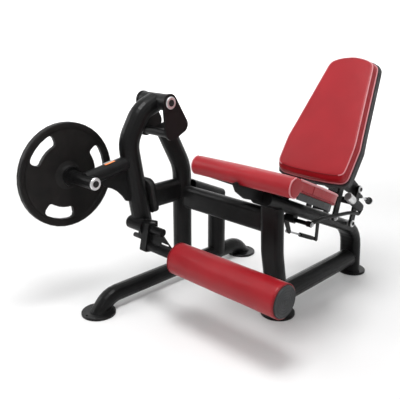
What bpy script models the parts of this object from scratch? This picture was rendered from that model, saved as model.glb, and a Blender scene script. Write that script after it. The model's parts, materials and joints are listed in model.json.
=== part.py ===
"""Plate-loaded leg extension machine, one named solid for each piece.

Metres, +Z up. The user sits facing -Y, and +X is the user's left. While it is being modelled, X = 0 is the
middle of the seat, Y = 0 is the lever-side upright and Z = 0 is the floor. The last step moves the whole machine
so that its origin is the middle of its footprint.
"""

import math

import bmesh
import bpy
from mathutils import Matrix, Vector

GAP = 0.0003  # between touching pieces
RUN = 0.0005  # between pieces that turn or slide in each other

# Frame
LEVER_X = -0.564  # plane of the lever-side frame
CROSS_Z = 0.43  # height of the tube that joins the two frames
STOP_Z = 0.466
TUBE = 0.089  # round tube
TUBE_WALL = 0.004
BASE_TUBE = 0.076
BASE_Z = 0.061
SEAT_BASE_Z = 0.086
OVAL_WIDE = 0.106  # flat-oval tube of the seat-side frame
OVAL_THICK = 0.056
FOOT_RADIUS = 0.076
FOOT_TOP = 0.008
FOOT_BASE = -0.003

# Seat: everything on it is placed along the rail's slope
TILT = math.radians(23.5)
RAIL_POINT = (0.25, 0.4106)  # Y and Z of a point on the rail's centre line
SEAT_FRONT = (-0.197, 0.7127)  # Y and Z of the seat top above the middle of the front roll
SEAT_THICK = 0.0483
ROLL_RADIUS = 0.040
SEAT_HALF = 0.242
SEAT_LENGTH = 0.456
PAN_PLATE = 0.005

# Backrest: everything on it is placed in the plane of its front face
BACK_LEAN = math.radians(33.7)
BACK_POINT = (0.215, 0.610)  # Y and Z of the middle of the front face's lower edge
BACK_LENGTH = 0.563
BACK_CUSHION = 0.048
BOARD_THICK = 0.024

# Lever arm
PIVOT = (-0.145, 0.8945)
CLEVIS_HALF = 0.082  # from the lever-side plane to a cheek plate's inner face
CHEEK_THICK = 0.010
AXLE_RADIUS = 0.0125
HUB_RADIUS = 0.036
BEARING_RADIUS = 0.026
SPACER = (-0.140, 0.757)
SPACER_RADIUS = 0.0185
ARCH_TOP = (-0.237, 0.859)
ARCH_FRONT = (-0.311, 0.735)
LEG_END = (-0.2430, 0.3470)
HORN = (-0.529, 0.606)
HORN_RADIUS = 0.0245
HORN_INNER_X = -0.508
HORN_OUTER_X = -0.900
COLLAR_X = -0.676
PLATE_RADIUS = 0.225

# Ankle adjuster and roller
ANKLE_PIVOT = (-0.280, 0.359)
ANKLE_BAR = (-0.296, 0.281)
ANKLE_PIN = (-0.272, 0.298)
PIN_STEP = math.radians(18)  # between two of the adjuster's holes
HOUSING_RADIUS = 0.030
BAR_RADIUS = 0.018
ROLLER_RADIUS = 0.069
ROLLER_HALF = 0.270
ROLLER_CAP = 0.0115

# Backrest linkage: a parallelogram on the rail
LINK_FRONT = (0.345, 0.3857)
LINK_REAR = (0.4985, 0.3190)
LINK_RISE = (0.048, 0.157)  # from a link's lower pivot to its upper one
LINK_INNER = 0.066
LINK_OUTER = 0.076
LINK_HALF = 0.018
CARRIAGE_HALF = 0.059
PIN_RADIUS = 0.008

# Release lever and gas spring
LEVER_SHAFT = (0.098, 0.427)
GAS_FRONT = (0.132, 0.352)
GAS_REAR = (0.352, 0.254)
GAS_X = -0.031
CRANK_X = (-0.0235, -0.0175)  # crank and lug beside the gas spring
LEVER_SIDE = 0.104
GRIP_LOW = (0.504, 0.405)
GRIP_HIGH = (0.392, 0.483)
GRIP_RADIUS = 0.021
PULL_START = (0.556, 0.4503)
PULL_END = (0.705, 0.378)
PULL_X = 0.040

ROUND = 20  # sides of a round tube
X_AXIS = Vector((1.0, 0.0, 0.0))
Y_AXIS = Vector((0.0, 1.0, 0.0))

pivots = {}
empties = {}
materials = {}


def clear_scene():
    for obj in list(bpy.data.objects):
        bpy.data.objects.remove(obj, do_unlink=True)


# ---------------------------------------------------------------- placing


def add_body(name, parent, pivot):
    """An empty on the body's joint axis; the body's pieces hang under it."""
    empty = bpy.data.objects.new(name + "_axis", None)
    bpy.context.scene.collection.objects.link(empty)
    pivots[name] = Vector(pivot)
    if parent:
        empty.parent = empties[parent]
        empty.location = pivots[name] - pivots[parent]
    empties[name] = empty
    return empty


def material(name, colour, roughness, metallic):
    made = bpy.data.materials.new(name)
    made.use_nodes = True
    shader = made.node_tree.nodes["Principled BSDF"]
    shader.inputs["Base Color"].default_value = (*colour, 1.0)
    shader.inputs["Roughness"].default_value = roughness
    shader.inputs["Metallic"].default_value = metallic
    materials[name] = made


def make_materials():
    material("black_paint", (0.018, 0.018, 0.019), 0.42, 0.0)
    material("black_plastic", (0.02, 0.02, 0.02), 0.55, 0.0)
    material("black_rubber", (0.015, 0.015, 0.015), 0.8, 0.0)
    material("plate_coat", (0.012, 0.012, 0.012), 0.5, 0.0)
    material("grey_plastic", (0.09, 0.09, 0.095), 0.6, 0.0)
    material("silver", (0.72, 0.72, 0.73), 0.25, 1.0)
    material("steel", (0.45, 0.45, 0.46), 0.35, 1.0)
    material("red_vinyl", (0.45, 0.03, 0.045), 0.5, 0.0)


def place(name, mesh, finish, body):
    """A node: its mesh is in the modelling frame, and its origin goes to the body's joint."""
    mesh.transform(Matrix.Translation(-pivots[body]))
    mesh.name = name
    mesh.materials.append(materials[finish])
    mesh.shade_smooth()
    mesh.set_sharp_from_angle(angle=math.radians(35.0))
    obj = bpy.data.objects.new(name, mesh)
    bpy.context.scene.collection.objects.link(obj)
    obj.parent = empties[body]
    return obj


def combine(obj, mesh, operation, body):
    helper = bpy.data.objects.new(obj.name + "." + operation.lower(), mesh)
    bpy.context.scene.collection.objects.link(helper)
    mesh.transform(Matrix.Translation(-pivots[body]))
    helper.parent = empties[body]
    helper.hide_render = True
    helper.display_type = "WIRE"
    modifier = obj.modifiers.new(operation.title(), "BOOLEAN")
    modifier.operation = operation
    modifier.solver = "EXACT"
    modifier.object = helper


def cut(obj, mesh, body="frame"):
    combine(obj, mesh, "DIFFERENCE", body)


def join(obj, mesh, body="frame"):
    combine(obj, mesh, "UNION", body)


# ---------------------------------------------------------------- outlines


def filleted(points, radius, closed=False, steps=6):
    """The points with each corner turned into an arc. radius is one number, or one for each point."""
    count = len(points)
    points = [Vector(p) for p in points]
    radii = radius if isinstance(radius, (list, tuple)) else [radius] * count
    out = []
    for i, corner in enumerate(points):
        if radii[i] == 0 or (not closed and i in (0, count - 1)):
            out.append(corner)
            continue
        back = (points[i - 1] - corner).normalized()
        ahead = (points[(i + 1) % count] - corner).normalized()
        half = back.angle(ahead) / 2
        centre = corner + (back + ahead).normalized() * (radii[i] / math.sin(half))
        start = corner + back * (radii[i] / math.tan(half)) - centre
        end = corner + ahead * (radii[i] / math.tan(half)) - centre
        turn = start.angle(end)
        for step in range(steps + 1):
            share = step / steps
            part = start * math.sin((1 - share) * turn) + end * math.sin(share * turn)
            out.append(centre + part / math.sin(turn))
    return out


def circle_points(centre, radius, steps=24, start=0.0, sweep_angle=math.tau):
    full = abs(sweep_angle - math.tau) < 1e-9
    share = steps if full else steps - 1
    angles = [start + sweep_angle * k / share for k in range(steps)]
    return [Vector((centre[0] + radius * math.cos(a), centre[1] + radius * math.sin(a))) for a in angles]


def hull(points):
    """The convex outline round 2-D points, anticlockwise."""
    ordered = sorted({(round(p[0], 7), round(p[1], 7)) for p in points})

    def half(sequence):
        chain = []
        for p in sequence:
            while len(chain) > 1:
                (ax, ay), (bx, by) = chain[-2], chain[-1]
                if (bx - ax) * (p[1] - ay) - (by - ay) * (p[0] - ax) > 1e-12:
                    break
                chain.pop()
            chain.append(p)
        return chain[:-1]

    return [Vector(p) for p in half(ordered) + half(ordered[::-1])]


def lobed(circles, steps=24):
    """The outline of a belt round circles given as (centre, radius)."""
    return hull([p for centre, radius in circles for p in circle_points(centre, radius, steps)])


# ---------------------------------------------------------------- meshes


def finished(work):
    bmesh.ops.recalc_face_normals(work, faces=work.faces)
    mesh = bpy.data.meshes.new("mesh")
    work.to_mesh(mesh)
    work.free()
    return mesh


def ring_faces(work, first, second):
    count = len(first)
    for i in range(count):
        j = (i + 1) % count
        work.faces.new((first[i], first[j], second[j], second[i]))


def stacked(levels, place_point):
    """A solid through outlines of equal count, as (outline, depth). place_point(point, depth) gives the 3-D point."""
    work = bmesh.new()
    rings = [[work.verts.new(place_point(p, depth)) for p in outline] for outline, depth in levels]
    for near, far in zip(rings, rings[1:]):
        ring_faces(work, near, far)
    work.faces.new(rings[0])
    work.faces.new(rings[-1][::-1])
    return finished(work)


def extruded(outline, place_point, low, high):
    return stacked([(outline, low), (outline, high)], place_point)


def plate_yz(outline, x_low, x_high):
    return extruded(outline, lambda p, x: Vector((x, p[0], p[1])), x_low, x_high)


def framed(levels, origin, second):
    """A stacked solid with outlines in the plane of X and a unit vector. Depth is along the cross of the two."""
    third = X_AXIS.cross(second)

    def place_point(p, depth):
        return origin + X_AXIS * p[0] + second * p[1] + third * depth

    return stacked(levels, place_point)


def box(low, high):
    outline = [(low[0], low[1]), (high[0], low[1]), (high[0], high[1]), (low[0], high[1])]
    return extruded(outline, lambda p, z: Vector((p[0], p[1], z)), low[2], high[2])


def section(wide, thick, sides):
    """Points of a round or flat-oval tube: wide along the first axis, thick along the second."""
    radius = min(wide, thick) / 2
    reach = Vector(((wide - 2 * radius) / 2, (thick - 2 * radius) / 2))
    points = []
    for k in range(sides):
        angle = math.tau * (k + 0.5) / sides
        x, y = math.cos(angle), math.sin(angle)
        points.append((math.copysign(reach.x, x) + radius * x, math.copysign(reach.y, y) + radius * y))
    return points


def sweep(path, side, wide, thick, wall=0.0, sides=ROUND, plug=0.0):
    """A tube along a flat path. side is square to the path's plane, and wide is measured along it.

    With a wall the tube is hollow and open at both ends, but plug closes its far end by that thickness.
    """
    work = bmesh.new()
    path = [Vector(p) for p in path]

    def rings(outline, points):
        made = []
        for i, point in enumerate(points):
            before = (points[i] - points[i - 1]).normalized() if i else None
            after = (points[i + 1] - points[i]).normalized() if i + 1 < len(points) else None
            tangent = ((before or after) + (after or before)).normalized()
            stretch = 1.0 / max(tangent.dot(before or after), 0.5)
            across = side.cross(tangent) * stretch
            made.append([work.verts.new(point + side * a + across * b) for a, b in outline])
        return made

    outer = rings(section(wide, thick, sides), path)
    for first, second in zip(outer, outer[1:]):
        ring_faces(work, first, second)
    if not wall:
        work.faces.new(outer[0])
        work.faces.new(outer[-1])
        return finished(work)
    inner_path = list(path)
    if plug:
        inner_path[-1] = path[-1] - (path[-1] - path[-2]).normalized() * plug
    inner = rings(section(wide - 2 * wall, thick - 2 * wall, sides), inner_path)
    for first, second in zip(inner, inner[1:]):
        ring_faces(work, first, second)
    ring_faces(work, outer[0], inner[0])
    if plug:
        work.faces.new(outer[-1])
        work.faces.new(inner[-1])
    else:
        ring_faces(work, outer[-1], inner[-1])
    return finished(work)


def turned(profile, origin, axis, sides=ROUND, closed=False):
    """A turned solid. profile holds (distance along the axis, radius); closed joins its ends, for a ring."""
    axis = Vector(axis).normalized()
    first = axis.orthogonal().normalized()
    second = axis.cross(first)
    work = bmesh.new()
    rows = []
    for along, radius in profile:
        centre = Vector(origin) + axis * along
        if radius == 0:
            rows.append([work.verts.new(centre)])
            continue
        angles = [math.tau * k / sides for k in range(sides)]
        rows.append([work.verts.new(centre + (first * math.cos(a) + second * math.sin(a)) * radius) for a in angles])
    pairs = list(zip(rows, rows[1:]))
    if closed:
        pairs.append((rows[-1], rows[0]))
    for one, two in pairs:
        if len(one) == 1 and len(two) == 1:
            continue
        for i in range(sides):
            j = (i + 1) % sides
            if len(one) == 1:
                work.faces.new((one[0], two[j], two[i]))
            elif len(two) == 1:
                work.faces.new((one[i], one[j], two[0]))
            else:
                work.faces.new((one[i], one[j], two[j], two[i]))
    return finished(work)


def pin_x(centre, radius, x_low, x_high, bevel=0.001, sides=ROUND):
    """A solid round bar along X with small end bevels."""
    length = x_high - x_low
    profile = [(0, 0), (0, radius - bevel), (bevel, radius), (length - bevel, radius)]
    profile += [(length, radius - bevel), (length, 0)]
    return turned(profile, (x_low, centre[0], centre[1]), X_AXIS, sides)


def sleeve_x(centre, inner, outer, x_low, x_high, sides=ROUND):
    length = x_high - x_low
    profile = [(0, inner), (0, outer), (length, outer), (length, inner)]
    return turned(profile, (x_low, centre[0], centre[1]), X_AXIS, sides, closed=True)


def cylinder_x(centre, radius, x_low, x_high, sides=ROUND):
    profile = [(0, 0), (0, radius), (x_high - x_low, radius), (x_high - x_low, 0)]
    return turned(profile, (x_low, centre[0], centre[1]), X_AXIS, sides)


def in_plane(x, points):
    return [Vector((x, p[0], p[1])) for p in points]


# ---------------------------------------------------------------- shared paths


RAIL_DOWN = Vector((math.cos(TILT), -math.sin(TILT)))
RAIL_UP = Vector((math.sin(TILT), math.cos(TILT)))
BACK_UP = Vector((math.sin(BACK_LEAN), math.cos(BACK_LEAN)))
BACK_REAR = Vector((math.cos(BACK_LEAN), -math.sin(BACK_LEAN)))
LEG_ALONG = (Vector(LEG_END) - Vector(ARCH_FRONT)).normalized()
LINK_FRONT_TOP = (LINK_FRONT[0] + LINK_RISE[0], LINK_FRONT[1] + LINK_RISE[1])
LINK_REAR_TOP = (LINK_REAR[0] + LINK_RISE[0], LINK_REAR[1] + LINK_RISE[1])
PULL_ALONG = (Vector(PULL_END) - Vector(PULL_START)).normalized()
GAS_ALONG = (Vector(GAS_REAR) - Vector(GAS_FRONT)).normalized()


def flat(pair):
    """A direction in the machine's side view as a 3-D vector."""
    return Vector((0.0, pair[0], pair[1]))


def at_x(x, pair):
    return Vector((x, pair[0], pair[1]))


def rail_point(y):
    return Vector((y, RAIL_POINT[1] - (y - RAIL_POINT[0]) * math.tan(TILT)))


def seat_point(along, height):
    """Along the seat's slope from the front roll, and height above its top."""
    return Vector(SEAT_FRONT) + RAIL_DOWN * along + RAIL_UP * height


def back_point(up, depth):
    """Up the backrest's face from its lower edge, and depth behind the face."""
    return Vector(BACK_POINT) + BACK_UP * up + BACK_REAR * depth


def lever_upright_path():
    return in_plane(LEVER_X, filleted([(0.006, BASE_Z), (0.006, 0.575), (-0.1015, 0.7752)], 0.20, steps=4))


def lever_upright_solid():
    return sweep(lever_upright_path(), X_AXIS, TUBE + 2 * GAP, TUBE + 2 * GAP)


def lever_base_path():
    points = [(-0.5314, -0.03), (-0.455, BASE_Z), (0.410, BASE_Z), (0.4864, -0.03)]
    return in_plane(LEVER_X, filleted(points, 0.10, steps=4))


def stub_path(longer=0.0):
    rear = 0.260 + longer
    return in_plane(LEVER_X, [(0.050, 0.4761), (rear, 0.4761 - (rear - 0.050) * math.tan(TILT))])


def rail_path(longer=0.0):
    """From the floor up to the front end, which is made longer by that much."""
    front = rail_point(-0.10) - RAIL_DOWN * longer
    return in_plane(0.0, filleted([(0.657, -0.02), rail_point(0.632), front], 0.15, steps=5))


def rail_solid(wider=0.0):
    return sweep(rail_path(GAP), X_AXIS, OVAL_WIDE + 2 * GAP + wider, OVAL_THICK + 2 * GAP)


def seat_upright_path():
    return in_plane(0.0, filleted([(-0.026, 0.535), (-0.012, 0.300), (0.0545, -0.02)], 0.30, steps=4))


def seat_upright_solid():
    return sweep(seat_upright_path(), X_AXIS, OVAL_WIDE + 2 * GAP, OVAL_THICK + 2 * GAP)


def arm_path():
    return in_plane(LEVER_X, filleted([PIVOT, ARCH_TOP, ARCH_FRONT, LEG_END], [0, 0.115, 0.125, 0], steps=5))


def arm_solid():
    return sweep(arm_path(), X_AXIS, TUBE + 2 * GAP, TUBE + 2 * GAP)


def ground_cutter():
    return box((-1.5, -1.5, -0.3), (1.5, 1.5, FOOT_TOP + GAP))


# ---------------------------------------------------------------- feet and frame


def make_feet():
    feet = {
        "foot_lever_front": (LEVER_X, -0.510, FOOT_RADIUS, -1),
        "foot_lever_rear": (LEVER_X, 0.455, FOOT_RADIUS, 1),
        "foot_seat_front": (0.0, 0.045, FOOT_RADIUS, -1),
        "foot_seat_rear": (0.0, 0.674, FOOT_RADIUS - 0.008, 1),
    }
    for name, (x, y, radius, way) in feet.items():
        profile = [(FOOT_BASE, 0), (FOOT_BASE, radius), (FOOT_TOP - 0.002, radius)]
        profile += [(FOOT_TOP, radius - 0.002), (FOOT_TOP, 0)]
        disc = place(name, turned(profile, (x, y, 0), (0, 0, 1), 28), "black_paint", "frame")
        hole = [(0, 0), (0, 0.0055), (0.04, 0.0055), (0.04, 0)]
        cut(disc, turned(hole, (x, y + way * (radius - 0.012), -0.02), (0, 0, 1), 8))


def make_lever_side():
    base = sweep(lever_base_path(), X_AXIS, BASE_TUBE, BASE_TUBE, TUBE_WALL)
    base = place("lever_base_tube", base, "black_paint", "frame")
    cut(base, ground_cutter())

    upright = sweep(lever_upright_path(), X_AXIS, TUBE, TUBE, TUBE_WALL, plug=0.006)
    upright = place("lever_upright", upright, "black_paint", "frame")
    base_solid = sweep(lever_base_path(), X_AXIS, BASE_TUBE + 2 * GAP, BASE_TUBE + 2 * GAP)
    cut(upright, base_solid)
    cut(upright, cylinder_x(SPACER, SPACER_RADIUS + GAP, LEVER_X - 0.2, LEVER_X + 0.2))

    stub = sweep(stub_path(), X_AXIS, 0.100, OVAL_THICK, TUBE_WALL, plug=TUBE_WALL)
    stub = place("lever_rail_stub", stub, "black_paint", "frame")
    cut(stub, lever_upright_solid())

    post_path = in_plane(LEVER_X, [(0.252, BASE_Z), (0.252, 0.374)])
    post = sweep(post_path, X_AXIS, TUBE, TUBE, TUBE_WALL, plug=TUBE_WALL)
    post = place("lever_rear_post", post, "black_paint", "frame")
    cut(post, base_solid.copy())
    cut(post, sweep(stub_path(2 * GAP), X_AXIS, 0.100 + 2 * GAP, OVAL_THICK + 2 * GAP))


def make_stop():
    """The tube, steel plate and rubber pad that the lever arm rests on."""
    along = flat(LEG_ALONG)
    centre = at_x(LEVER_X, ARCH_FRONT) + along * ((ARCH_FRONT[1] - STOP_Z) / -LEG_ALONG.y)
    pad_front = TUBE / 2 + 0.0008
    pad_back = pad_front + 0.018
    plate_front = pad_back + GAP
    plate_back = plate_front + 0.008

    tube = sweep([(LEVER_X, -0.014, STOP_Z), (LEVER_X, -0.24, STOP_Z)], X_AXIS, OVAL_THICK, 0.11, TUBE_WALL)
    tube = place("stop_tube", tube, "black_paint", "frame")
    cut(tube, lever_upright_solid())
    blank = [(-0.2, -0.2), (0.2, -0.2), (0.2, 0.2), (-0.2, 0.2)]
    cut(tube, framed([(blank, -0.2), (blank, plate_back + GAP)], centre, along))

    outline = filleted([(-0.047, -0.082), (0.047, -0.082), (0.047, 0.082), (-0.047, 0.082)], 0.032, True, 5)
    plate = framed([(outline, plate_front), (outline, plate_back)], centre, along)
    place("stop_plate", plate, "black_paint", "frame")
    pad = [Vector((p.x * 0.96, p.y * 0.975)) for p in outline]
    front = [Vector((p.x * 0.90, p.y * 0.94)) for p in outline]
    pad = framed([(front, pad_front), (pad, pad_front + 0.002), (pad, pad_back)], centre, along)
    place("stop_bumper", pad, "black_rubber", "frame")


def make_clevis():
    y, z = PIVOT
    outline = lobed([((y, z), 0.039), ((y + 0.011, z - 0.1255), 0.040), ((y + 0.069, z - 0.1035), 0.035)], 24)
    for name, way in (("clevis_cheek_inner", 1), ("clevis_cheek_outer", -1)):
        sides = sorted((LEVER_X + way * CLEVIS_HALF, LEVER_X + way * (CLEVIS_HALF + CHEEK_THICK)))
        cheek = place(name, plate_yz(outline, *sides), "black_paint", "frame")
        cut(cheek, cylinder_x(PIVOT, AXLE_RADIUS + GAP, LEVER_X - 0.2, LEVER_X + 0.2, 24))
    reach = CLEVIS_HALF - GAP
    spacer = sleeve_x(SPACER, SPACER_RADIUS - 0.003, SPACER_RADIUS, LEVER_X - reach, LEVER_X + reach)
    place("clevis_spacer", spacer, "black_paint", "frame")

    tip = CLEVIS_HALF + CHEEK_THICK + 0.0015
    place("pivot_axle", pin_x(PIVOT, AXLE_RADIUS, LEVER_X - tip, LEVER_X + tip, sides=24), "steel", "frame")
    ring = [(0, AXLE_RADIUS + GAP), (0, 0.026), (0.0035, 0.0275), (0.0065, 0.024), (0.0065, 0.011)]
    ring += [(0.0024, 0.011), (0.0024, AXLE_RADIUS + GAP)]
    start = at_x(LEVER_X + CLEVIS_HALF + CHEEK_THICK + GAP, PIVOT)
    place("pivot_cap", turned(ring, start, X_AXIS, 24, closed=True), "silver", "frame")


def make_cross_tube():
    path = [(LEVER_X + 0.01, 0.006, CROSS_Z), (-0.030, 0.006, CROSS_Z)]
    tube = sweep(path, Y_AXIS, OVAL_THICK, 0.11, TUBE_WALL, plug=TUBE_WALL)
    tube = place("cross_tube", tube, "black_paint", "frame")
    cut(tube, lever_upright_solid())
    cut(tube, seat_upright_solid())
    cut(tube, rail_solid())


def make_seat_side():
    rail = sweep(rail_path(), X_AXIS, OVAL_WIDE, OVAL_THICK, TUBE_WALL, plug=TUBE_WALL)
    rail = place("seat_rail", rail, "black_paint", "frame")
    cut(rail, ground_cutter())
    for centre in (LINK_FRONT, LINK_REAR):
        cut(rail, cylinder_x(centre, PIN_RADIUS + GAP, -0.1, 0.1, 16))

    upright = sweep(seat_upright_path(), X_AXIS, OVAL_WIDE, OVAL_THICK, TUBE_WALL)
    upright = place("seat_upright", upright, "black_paint", "frame")
    cut(upright, rail_solid(0.02))
    cut(upright, ground_cutter())

    path = in_plane(0.0, [(0.030, SEAT_BASE_Z), (0.65, SEAT_BASE_Z)])
    tube = place("seat_base_tube", sweep(path, X_AXIS, TUBE, TUBE, TUBE_WALL), "black_paint", "frame")
    cut(tube, seat_upright_solid())
    cut(tube, rail_solid())

    high = -SEAT_THICK - PAN_PLATE - GAP - RUN
    outline = [(-0.270, 0.656), (-0.253, 0.621), (-0.206, 0.584), (-0.157, 0.567), (-0.096, 0.545)]
    outline += [(-0.070, 0.560), seat_point(0.190, high), seat_point(0.0, high)]
    gusset = place("seat_front_gusset", plate_yz(outline, -0.006, 0.006), "black_paint", "frame")
    cut(gusset, rail_solid())
    cut(gusset, cylinder_x(seat_point(0, -ROLL_RADIUS), ROLL_RADIUS + 0.001, -0.1, 0.1, 32))


# ---------------------------------------------------------------- seat


def seat_outline(inset, front, rear, steps=7):
    """Half-width of the seat along its slope, mirrored into a closed outline."""
    half = SEAT_HALF - inset
    turn_at = 0.250
    side = [(half, front), (half, 0.112), (half - 0.006, turn_at)]
    for k in range(1, steps):
        angle = math.pi / 2 * k / steps
        side.append(((half - 0.006) * math.cos(angle) ** 0.8, turn_at + (rear - turn_at) * math.sin(angle)))
    return side + [(-x, along) for x, along in reversed(side)]


def seat_prism(outline, low, high):
    return framed([(outline, low), (outline, high)], at_x(0.0, SEAT_FRONT), flat(RAIL_DOWN))


def make_seat():
    bottom = -SEAT_THICK
    pan = seat_prism(seat_outline(0.014, 0.046, SEAT_LENGTH - 0.012), bottom - 0.0262, bottom - 2 * GAP)
    pan = place("seat_pan", pan, "black_plastic", "frame")
    under = bottom - PAN_PLATE
    cut(pan, seat_prism(seat_outline(0.019, -0.02, SEAT_LENGTH - 0.018), bottom - 0.06, under))
    channel = [(-0.064, 0.3), (0.064, 0.3), (0.064, 0.6), (-0.064, 0.6)]
    cut(pan, seat_prism(channel, bottom - 0.061, under - 0.0002))
    rail_top = RAIL_UP.dot(Vector(RAIL_POINT) - Vector(SEAT_FRONT)) + OVAL_THICK / 2 + GAP
    spacer = [(-0.024, 0.205), (0.024, 0.205), (0.024, 0.262), (-0.024, 0.262)]
    join(pan, seat_prism(spacer, rail_top, under + 0.002))

    cushion = seat_prism(seat_outline(0.0, 0.0, SEAT_LENGTH), bottom, 0.0)
    cushion = place("seat_cushion", cushion, "red_vinyl", "frame")
    reach = SEAT_HALF + 0.0008
    join(cushion, cylinder_x(seat_point(0, -ROLL_RADIUS), ROLL_RADIUS, -reach, reach, 32))


# ---------------------------------------------------------------- lever arm


def make_arm():
    hub_half = CLEVIS_HALF - 0.0008
    hub = sleeve_x(PIVOT, BEARING_RADIUS + GAP, HUB_RADIUS, LEVER_X - hub_half, LEVER_X + hub_half, 28)
    place("arm_hub", hub, "black_paint", "lever_arm")
    for name, way in (("arm_bearing_inner", 1), ("arm_bearing_outer", -1)):
        ends = sorted((LEVER_X + way * (hub_half - 0.001), LEVER_X + way * (hub_half - 0.017)))
        ring = sleeve_x(PIVOT, AXLE_RADIUS + GAP, BEARING_RADIUS, *ends)
        place(name, ring, "steel", "lever_arm")

    path = arm_path()
    path[0] += (path[1] - path[0]).normalized() * 0.010
    arch = sweep(path, X_AXIS, TUBE, TUBE, TUBE_WALL, plug=0.006)
    arch = place("arm_arch", arch, "black_paint", "lever_arm")
    cut(arch, cylinder_x(PIVOT, HUB_RADIUS + GAP, LEVER_X - 0.2, LEVER_X + 0.2, 28), "lever_arm")
    cut(arch, cylinder_x(ANKLE_PIVOT, HOUSING_RADIUS + GAP, LEVER_X - 0.2, LEVER_X + 0.2), "lever_arm")


def plate_arm_path():
    return in_plane(LEVER_X, [(-0.285, 0.6546), (-0.535, 0.612)])


def make_plate_arm():
    bar = sweep(plate_arm_path(), X_AXIS, 0.063, 0.063, 0.003, plug=0.003)
    bar = place("plate_arm", bar, "black_paint", "lever_arm")
    cut(bar, arm_solid(), "lever_arm")
    cut(bar, cylinder_x(HORN, 0.0275 + GAP, LEVER_X - 0.2, LEVER_X + 0.2), "lever_arm")

    outline = [(-0.290, 0.632), (-0.462, 0.604), (-0.453, 0.577), (-0.440, 0.562), (-0.408, 0.550)]
    outline += [(-0.378, 0.530), (-0.352, 0.503), (-0.335, 0.478), (-0.290, 0.466)]
    gusset = plate_yz(outline, LEVER_X - 0.004, LEVER_X + 0.004)
    gusset = place("arm_gusset", gusset, "black_paint", "lever_arm")
    cut(gusset, arm_solid(), "lever_arm")
    cut(gusset, sweep(plate_arm_path(), X_AXIS, 0.063 + 2 * GAP, 0.063 + 2 * GAP), "lever_arm")


def make_horn():
    length = HORN_INNER_X - HORN_OUTER_X
    collar = HORN_INNER_X - COLLAR_X
    profile = [(0, 0.018), (0, 0.0275), (collar - 0.030, 0.0275), (collar - 0.012, 0.030)]
    profile += [(collar - 0.012, 0.043), (collar, 0.043), (collar, HORN_RADIUS)]
    profile += [(length - 0.003, HORN_RADIUS), (length, HORN_RADIUS - 0.003), (length, 0.018)]
    horn = turned(profile, at_x(HORN_INNER_X, HORN), -X_AXIS, ROUND, closed=True)
    place("weight_horn", horn, "black_paint", "lever_arm")
    cap = [(-0.010, 0), (-0.010, 0.0176), (GAP, 0.0176), (GAP, 0.0245), (0.003, 0.0265), (0.0065, 0.0235)]
    cap += [(0.0065, 0.0095), (0.003, 0.0085), (0.003, 0)]
    place("horn_cap", turned(cap, at_x(HORN_INNER_X, HORN), X_AXIS, ROUND), "silver", "lever_arm")


def make_weight_plate():
    """A disc with a raised hub and rim and three hand slots."""
    near = COLLAR_X - 0.0125
    bore = HORN_RADIUS + 0.0009
    profile = [(0, bore), (0, 0.037), (0.006, 0.045), (0.013, 0.062), (0.016, 0.196), (0.012, 0.204)]
    profile += [(0.010, 0.220), (0.013, PLATE_RADIUS), (0.035, PLATE_RADIUS), (0.038, 0.220)]
    profile += [(0.036, 0.204), (0.032, 0.196), (0.034, 0.062), (0.038, 0.045), (0.038, bore)]
    disc = turned(profile, at_x(near, HORN), -X_AXIS, 40, closed=True)
    disc = place("weight_plate", disc, "plate_coat", "weight_plate")
    for middle in (12, 132, 252):
        half = math.radians(24)
        start = math.radians(middle) - half
        outer = circle_points(HORN, 0.192, 6, start, 2 * half)
        inner = circle_points(HORN, 0.140, 6, start, 2 * half)[::-1]
        corners = [0.016] + [0] * 4 + [0.016, 0.014] + [0] * 4 + [0.014]
        outline = filleted(outer + inner, corners, True, 2)
        cut(disc, plate_yz(outline, near - 0.1, near + 0.05), "weight_plate")


# ---------------------------------------------------------------- ankle adjuster and roller


def pin_direction():
    return math.atan2(ANKLE_PIN[1] - ANKLE_PIVOT[1], ANKLE_PIN[0] - ANKLE_PIVOT[0])


def around_ankle(radius, angle):
    return (ANKLE_PIVOT[0] + radius * math.cos(angle), ANKLE_PIVOT[1] + radius * math.sin(angle))


def make_ankle_housing():
    housing = sleeve_x(ANKLE_PIVOT, 0.0155, HOUSING_RADIUS, -0.602, -0.5055)
    place("ankle_housing", housing, "black_paint", "lever_arm")
    reach = math.dist(ANKLE_PIN, ANKLE_PIVOT)
    outline = lobed([(ANKLE_PIN, 0.011), (around_ankle(reach - 0.022, pin_direction()), 0.009)])
    barrel = place("ankle_pin_barrel", plate_yz(outline, -0.548, -0.5062), "black_paint", "lever_arm")
    cut(barrel, cylinder_x(ANKLE_PIVOT, HOUSING_RADIUS + GAP, -0.7, -0.4), "lever_arm")
    cut(barrel, cylinder_x(ANKLE_PIN, 0.0055, -0.7, -0.4, 16), "lever_arm")


def make_ankle_pin():
    """The rod that goes into one of the selector's holes, with its handle."""
    profile = [(0, 0), (0, 0.0095), (0.0015, 0.011), (0.0365, 0.011), (0.0385, 0.009), (0.0385, 0.005)]
    profile += [(0.0820, 0.005), (0.0829, 0.004), (0.0829, 0)]
    place("ankle_pin", turned(profile, at_x(-0.588, ANKLE_PIN), X_AXIS, 16), "steel", "ankle_pin")


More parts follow.
